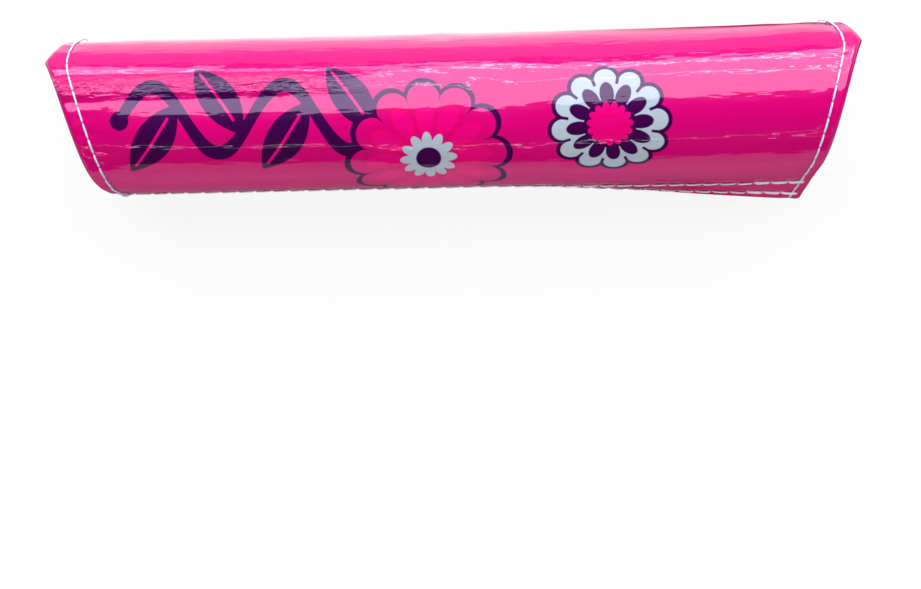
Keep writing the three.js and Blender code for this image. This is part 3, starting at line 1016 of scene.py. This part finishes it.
def flap_route(sheet, arc_place):
    """A row along a flap, which stops short of both ends."""
    ends = [sheet.place_along(arc_place, side, FLAP_ROW_MARGIN) for side in (-1, 1)]
    x = np.linspace(*ends, 60)
    return np.full(x.shape, arc_place), x


def back_tack(sheet, arc_place, side):
    """The last stitches of a flap row, sewn a second time beside the first."""
    ends = [sheet.place_along(arc_place, side, inset) for inset in TACK_ENDS]
    x = np.linspace(*ends, 20)
    return arc_place + TACK_OFFSET + TACK_SLANT * np.linspace(-1, 1, len(x)), x


TAIL_SIDES = 6
TAIL_RINGS = 22
TAIL_RADIUS = 0.36
TAIL_LIFT = 0.3


def thread_tail(skin, stitches, arc, x, lift):
    """A loose end of thread: a thin closed tube along places on the sheet, lifted off the vinyl."""
    sheet = skin.sheet
    share = np.linspace(0, 1, TAIL_RINGS)
    knots = np.linspace(0, 1, len(arc))
    arc, x, lift = (np.interp(share, knots, values) for values in (arc, x, lift))
    for values in (arc, x, lift):
        values[1:-1] = (values[:-2] + 2 * values[1:-1] + values[2:]) / 4
    outer, _ = sheet.depths(arc, sheet.end_inset(arc, x))
    surface = vinyl_relief(skin, stitches, arc, x)
    spine = sheet.roll(arc, x, outer + surface - lift - TAIL_LIFT * stitches.thread)
    ahead = np.gradient(spine, axis=0)
    ahead /= np.linalg.norm(ahead, axis=1, keepdims=True)
    beside = np.cross(ahead, (0.3, 0.2, 1.0))
    beside /= np.linalg.norm(beside, axis=1, keepdims=True)
    above = np.cross(beside, ahead)
    turns = np.arange(TAIL_SIDES) * math.pi / (TAIL_SIDES / 2)
    ring = np.cos(turns)[None, :, None] * beside[:, None] + np.sin(turns)[None, :, None] * above[:, None]
    vertices = (spine[:, None] + TAIL_RADIUS * stitches.thread * ring).reshape(-1, 3)
    index = np.arange(len(vertices)).reshape(TAIL_RINGS, TAIL_SIDES)
    turned = np.roll(index, -1, axis=1)
    faces = np.stack([index[:-1], turned[:-1], turned[1:], index[1:]], axis=-1).reshape(-1, 4).tolist()
    faces += [index[0].tolist(), index[-1].tolist()]
    round_it = np.tile(np.arange(TAIL_SIDES) / TAIL_SIDES, TAIL_RINGS)
    return vertices, faces, np.stack([np.repeat(share * 3, TAIL_SIDES), round_it], axis=-1)


# Loose ends, in degrees and millimetres: angle on the roll, end of the pad, reach along it, lean across it
LOOSE_ENDS = (
    (-79, -1, 3.2, 1.5),
    (-80, 1, 3.6, 1.2),
    (-74, 1, 2.0, 2.2),
    (76, -1, 4.5, -1.0),
    (81, -1, 3.0, -1.6),
)
# The shape of each: shares of its lean and of its reach, and how high it stands off the vinyl
LOOSE_LEAN = (0, 0.35, 0.9, 1)
LOOSE_REACH = (0, 0.3, 0.75, 1)
LOOSE_HEIGHT = (0, 0.5 * MM, 0.7 * MM, 0.15 * MM)


def tail_places(sheet, stitches, degrees_round, side, reach, lean):
    """A small loop that starts in the end row at an angle of the roll and stands off the vinyl."""
    start = sheet.arc_of_angle(math.radians(degrees_round))
    base = sheet.end_row(start, side, stitches.end_inset)
    arc = [start + share * lean * MM for share in LOOSE_LEAN]
    x = [base - side * share * reach * MM for share in LOOSE_REACH]
    return arc, x, LOOSE_HEIGHT


def keep_swelling(cover, skin):
    """Leave what the simulation gave on the cover's mesh, where the stitches find it."""
    if skin.moved is not None:
        cover.data["swelling"] = [float(value) for value in skin.moved.ravel()]


def kept_skin(sheet):
    mesh = bpy.data.objects["pad_cover"].data
    if "swelling" not in mesh:
        return Skin(sheet)
    return Skin(sheet, np.array(mesh["swelling"][:]).reshape(SKIN_ROWS, SKIN_COLUMNS))


# Operators, one for each piece or group of like pieces
def settings(context):
    scene = context.scene
    return Sheet(scene.pad_sizes), scene.pad_stitches, scene.pad_colours


class PAD_OT_cover(bpy.types.Operator):
    """Build the printed vinyl cover with its turned and sewn edges"""

    bl_idname = "crossbar_pad.cover"
    bl_label = "Vinyl cover"

    def execute(self, context):
        sheet, stitches, colours = settings(context)
        skin = settle_skin(context, sheet, stitches)
        cover = build_cover(skin, stitches, colours)
        keep_swelling(cover, skin)
        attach(cover, "root")
        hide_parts("outer_cover")
        return {"FINISHED"}


class PAD_OT_filling(bpy.types.Operator):
    """Build the foam core and the knit lining"""

    bl_idname = "crossbar_pad.filling"
    bl_label = "Foam and lining"

    def execute(self, context):
        sheet, _, _ = settings(context)
        s = sheet.s
        foam = build_plain_layer(
            sheet, "foam_slab", foam_material(),
            lambda outer, inner: outer + s.cover + s.gap,
            lambda outer, inner: inner - s.lining - s.gap,
            sheet.flap_hem + sheet.padding_start, s.end_hem + sheet.padding_start,
        )
        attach(foam, "root")
        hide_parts("foam_core")
        lining = build_plain_layer(
            sheet, "pad_lining", knit_material("pale knit", (0.74, 0.75, 0.78), 220.0, 0.12 * MM),
            lambda outer, inner: inner - s.lining,
            lambda outer, inner: inner,
            sheet.flap_hem + LINING_ROOM, s.end_hem + LINING_ROOM,
        )
        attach(lining, "root")
        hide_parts("inner_lining")
        cut = lining_cut(sheet)
        return {"FINISHED"}


class PAD_OT_tapes(bpy.types.Operator):
    """Build the hook tape and the loop tape under the lap"""

    bl_idname = "crossbar_pad.tapes"
    bl_label = "Hook and loop tapes"

    def execute(self, context):
        sheet, _, _ = settings(context)
        s = sheet.s
        material = knit_material("white tape", (0.84, 0.86, 0.88), 500.0, 0.2 * MM)
        hook = build_tape(
            sheet, "hook_strip", material, s.tape_inset, s.tape_inset + s.tape_width,
            lambda outer, inner: inner + s.gap * TAPE_ROOM,
            lambda outer, inner: inner + s.gap + s.tape,
        )
        loop = build_tape(
            sheet, "loop_strip", material,
            sheet.width - s.tape_inset - s.tape_width, sheet.width - s.tape_inset,
            lambda outer, inner: outer - s.gap - s.tape,
            lambda outer, inner: outer - s.gap * TAPE_ROOM,
        )
        for tape, node in ((hook, "hook_tape"), (loop, "loop_tape")):
            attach(tape, "root")
            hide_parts(node)
        return {"FINISHED"}


class PAD_OT_stitches(bpy.types.Operator):
    """Lay the rows of white stitches along the ends and the flaps"""

    bl_idname = "crossbar_pad.stitches"
    bl_label = "Stitches"

    def execute(self, context):
        sheet, stitches, _ = settings(context)
        bluish = thread_material("bluish thread", (0.5, 0.58, 0.72), (0.7, 0.78, 0.92))
        # Painted light: the flap rows get a lighter copy of the thread than the end rows, as little light
        # falls on them
        white = thread_material("lightened flap thread", (0.78, 0.84, 0.93), (0.97, 0.98, 1.0))
        ends = [(*end_route(sheet, stitches, side), face) for side in (-1, 1) for face in (1, -1)]
        rows = (stitches.outer_row, stitches.inner_row)
        flaps = [(*flap_route(sheet, row), 1) for row in rows]
        flaps += [(*flap_route(sheet, sheet.width - row), -1) for row in rows]
        flaps += [(*back_tack(sheet, row, side), 1) for row in rows for side in (-1, 1)]
        tails = [tail_places(sheet, stitches, *loose) for loose in LOOSE_ENDS]
        skin = kept_skin(sheet)
        groups = (("end_stitches", ends, tails, bluish), ("flap_stitches", flaps, [], white))
        for name, routes, loose_ends, material in groups:
            thread = lay_stitches(skin, stitches, name, routes, loose_ends, material)
            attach(thread, "root")
        return {"FINISHED"}


# Studio
PHOTO_WIDTH = 921
PHOTO_HEIGHT = 589
# At the height of the pad's axis, which lies deeper than the tips
TIP_TO_TIP_PIXELS = 810.3
PAD_MIDDLE_PIXEL = (454.8, 110.9)
SENSOR_WIDTH = 36.0
WHITE = (1.0, 1.0, 1.0)
COOL = (0.93, 1.0, 1.14)
MIRRORED_COOL = (1.05, 0.88, 1.28)
MIRRORED_TABLE_TINT = (0.85, 0.9, 1.22)


def add_camera(context, studio, sheet):
    """A long lens straight above the pad, which lies in the upper part of the picture."""
    per_pixel = sheet.s.length / TIP_TO_TIP_PIXELS
    tilt = studio.pad_tilt
    right = Vector((math.cos(tilt), -math.sin(tilt), 0))
    up = Vector((math.sin(tilt), math.cos(tilt), 0))
    from_middle = (PAD_MIDDLE_PIXEL[0] - PHOTO_WIDTH / 2) * per_pixel
    above_middle = (PHOTO_HEIGHT / 2 - PAD_MIDDLE_PIXEL[1]) * per_pixel
    place = -from_middle * right - above_middle * up
    place.z = sheet.axis_height + studio.camera_height
    lens = bpy.data.cameras.new("camera")
    lens.sensor_width = SENSOR_WIDTH
    lens.lens = SENSOR_WIDTH * studio.camera_height / (PHOTO_WIDTH * per_pixel)
    lens.clip_start = 0.01
    camera = bpy.data.objects.new("camera", lens)
    camera.location = place
    camera.rotation_euler = (0, 0, -tilt)
    context.scene.collection.objects.link(camera)
    context.scene.camera = camera


def add_lamp(context, name, tilt, distance, size, radiance, colour=WHITE, lights=True, mirrored=True):
    """A rectangular lamp over the pad, tilted back from straight above, or forwards for a negative tilt.

    Its power follows from its radiance, so that its reflection keeps its level at any size.
    """
    tilt = math.radians(tilt)
    data = bpy.data.lights.new(name, "AREA")
    data.shape = "RECTANGLE"
    data.size, data.size_y = size
    data.energy = radiance * math.pi * size[0] * size[1]
    data.color = colour
    lamp = bpy.data.objects.new(name, data)
    lamp.location = (0, distance * math.sin(tilt), distance * math.cos(tilt))
    lamp.rotation_euler = (-tilt, 0, 0)
    lamp.visible_diffuse = lights
    lamp.visible_glossy = mirrored
    context.scene.collection.objects.link(lamp)


SOFTBOX_TILT = 44.5
SOFTBOX_SIZE = (2.0, 1.47)


def add_lamps(context, studio):
    """A softbox, a front light and three strips that draw the thin highlights.

    The softbox is two lamps, one that only lights and one just in front of it that is only mirrored.
    """
    soft, strips = studio.softbox, studio.strips
    add_lamp(context, "softbox", SOFTBOX_TILT, 1.21, SOFTBOX_SIZE, soft, COOL, mirrored=False)
    add_lamp(context, "softbox_face", SOFTBOX_TILT, 1.2, SOFTBOX_SIZE, soft, MIRRORED_COOL, lights=False)
    add_lamp(context, "front_light", -55, 1.2, (2.0, 0.6), studio.front, mirrored=False)
    add_lamp(context, "back_strip", 68, 1.1, (1.6, 0.03), strips)
    add_lamp(context, "middle_strip", 45, 1.1, (1.6, 0.025), strips)
    add_lamp(context, "front_strip", -51, 1.1, (1.6, 0.02), strips * 0.4)


# The table: how much of it is white of its own, and the painted light and shadow of its mirrored glow
TABLE_SEEN_SHARE = 0.88
LIGHT_POOL_MIDDLE = 60 * MM
LIGHT_POOL_HALF = 38 * MM
LIGHT_POOL_EDGE = 9 * MM
LIGHT_POOL_GAIN = 1.3
PAD_SHADOW_HALF = 75 * MM
PAD_SHADOW_EDGE = 45 * MM
PAD_SHADOW_DEPTH = 0.7
FLAP_SHADE_START = 45 * MM
FLAP_SHADE_EASE = 35 * MM
FLAP_SHADE_HALF = 38 * MM
FLAP_SHADE_EDGE = 8 * MM


def add_floor(context, studio):
    """A white table: white to the camera apart from the pad's shadow, and dimmer where it is mirrored, with
    painted light and shade.
    """
    bpy.ops.object.select_all(action="DESELECT")
    bpy.ops.mesh.primitive_plane_add(size=6, location=(0, 0, -0.2 * MM))
    floor = bpy.context.object
    floor.name = "floor"
    bpy.ops.object.transform_apply(location=True, rotation=True, scale=True)
    s = Shading(bpy.data.materials.new("white table"))
    s.set(Base_Color=(0.9, 0.9, 0.9, 1), Roughness=0.6, Specular_IOR_Level=0.0)
    light_path = s.node("ShaderNodeLightPath").outputs
    mirrored = Field(s, light_path["Is Glossy Ray"])
    seen = s.math("MAXIMUM", light_path["Is Camera Ray"], light_path["Is Transmission Ray"])
    x, y, _ = s.parts(s.node("ShaderNodeTexCoord").outputs["Object"])
    # Painted light: the mirrored table is brighter behind the pad, as if lit by the softbox
    bright = s.mask(abs(y - LIGHT_POOL_MIDDLE) - LIGHT_POOL_HALF, LIGHT_POOL_EDGE)
    # Painted shadow: the mirrored table is darker round the pad, apart from behind it
    pad_shadow = s.mask(abs(y) - PAD_SHADOW_HALF, PAD_SHADOW_EDGE) * (1.0 - bright)
    # Painted shadow: the mirrored table is darker beside the open flap
    flap_shadow = s.mask(FLAP_SHADE_START - x, FLAP_SHADE_EASE)
    flap_shadow = flap_shadow * s.mask(abs(y) - FLAP_SHADE_HALF, FLAP_SHADE_EDGE)
    # Level of the painted glow that reflections see of the table: painted light behind the pad, painted
    # shadows round it
    level = (bright * LIGHT_POOL_GAIN + 1.0 - pad_shadow * PAD_SHADOW_DEPTH) * (1.0 - flap_shadow) * studio.table
    tint = s.mix(mirrored * (1.0 - bright), WHITE, MIRRORED_TABLE_TINT)
    glow = s.made_with("ShaderNodeEmission", {"Color": tint, "Strength": seen + mirrored * level})
    share = seen * TABLE_SEEN_SHARE + mirrored
    mixer = s.made_with("ShaderNodeMixShader", {0: share, 1: s.shader.outputs[0], 2: glow.outputs[0]})
    s.feed(s.nodes["Material Output"].inputs[0], mixer.outputs[0])
    floor.data.materials.append(s.owner)


HORIZON_HEIGHT = 0.1
HORIZON_EDGE = 0.012
DARK_ROOM = 0.02


def set_world(context, studio):
    """An even fill light that is mirrored as a dark room with a pale horizon, and seen as white."""
    s = Shading(bpy.data.worlds.new("studio"), "Background")
    _, _, height = s.parts(s.node("ShaderNodeTexCoord").outputs["Generated"])
    light_path = s.node("ShaderNodeLightPath").outputs
    room = s.mask(height - HORIZON_HEIGHT, HORIZON_EDGE) * studio.table + DARK_ROOM
    mirrored = Field(s, light_path["Is Glossy Ray"]) * (room - studio.fill)
    seen = Field(s, light_path["Is Camera Ray"]) * (1.0 - studio.fill)
    s.set(Strength=mirrored + seen + studio.fill, Color=(*WHITE, 1.0))
    context.scene.world = s.owner


class PAD_OT_stage(bpy.types.Operator):
    """Set up the floor, the lamps and the camera"""

    bl_idname = "crossbar_pad.stage"
    bl_label = "Studio"

    def execute(self, context):
        studio = context.scene.pad_studio
        add_floor(context, studio)
        add_lamps(context, studio)
        set_world(context, studio)
        add_camera(context, studio, Sheet(context.scene.pad_sizes))
        context.scene.view_settings.view_transform = "Standard"
        return {"FINISHED"}


class PAD_PT_panel(bpy.types.Panel):
    """Crossbar pad"""

    bl_idname = "PAD_PT_panel"
    bl_label = "Crossbar pad"
    bl_space_type = "VIEW_3D"
    bl_region_type = "UI"
    bl_category = "Crossbar pad"

    def draw(self, context):
        for operator in OPERATORS:
            self.layout.operator(operator.bl_idname)
        for name in GROUPS:
            group = getattr(context.scene, name)
            for key in group.bl_rna.properties.keys():
                if key not in ("name", "rna_type"):
                    self.layout.prop(group, key)


OPERATORS = (PAD_OT_cover, PAD_OT_filling, PAD_OT_tapes, PAD_OT_stitches, PAD_OT_stage)
GROUPS = {
    "pad_sizes": PadSizes,
    "pad_stitches": StitchSizes,
    "pad_colours": PrintColours,
    "pad_studio": StudioSettings,
}


def register():
    for group in GROUPS.values():
        bpy.utils.register_class(group)
    for name, group in GROUPS.items():
        setattr(bpy.types.Scene, name, PointerProperty(type=group))
    for operator in OPERATORS:
        bpy.utils.register_class(operator)
    bpy.utils.register_class(PAD_PT_panel)


def unregister():
    bpy.utils.unregister_class(PAD_PT_panel)
    for operator in reversed(OPERATORS):
        bpy.utils.unregister_class(operator)
    for name, group in GROUPS.items():
        delattr(bpy.types.Scene, name)
        bpy.utils.unregister_class(group)


def main():
    register()
    bpy.ops.crossbar_pad.cover()
    bpy.ops.crossbar_pad.filling()
    bpy.ops.crossbar_pad.tapes()
    bpy.ops.crossbar_pad.stitches()
    bpy.ops.crossbar_pad.stage()


if __name__ == "__main__":
    main()
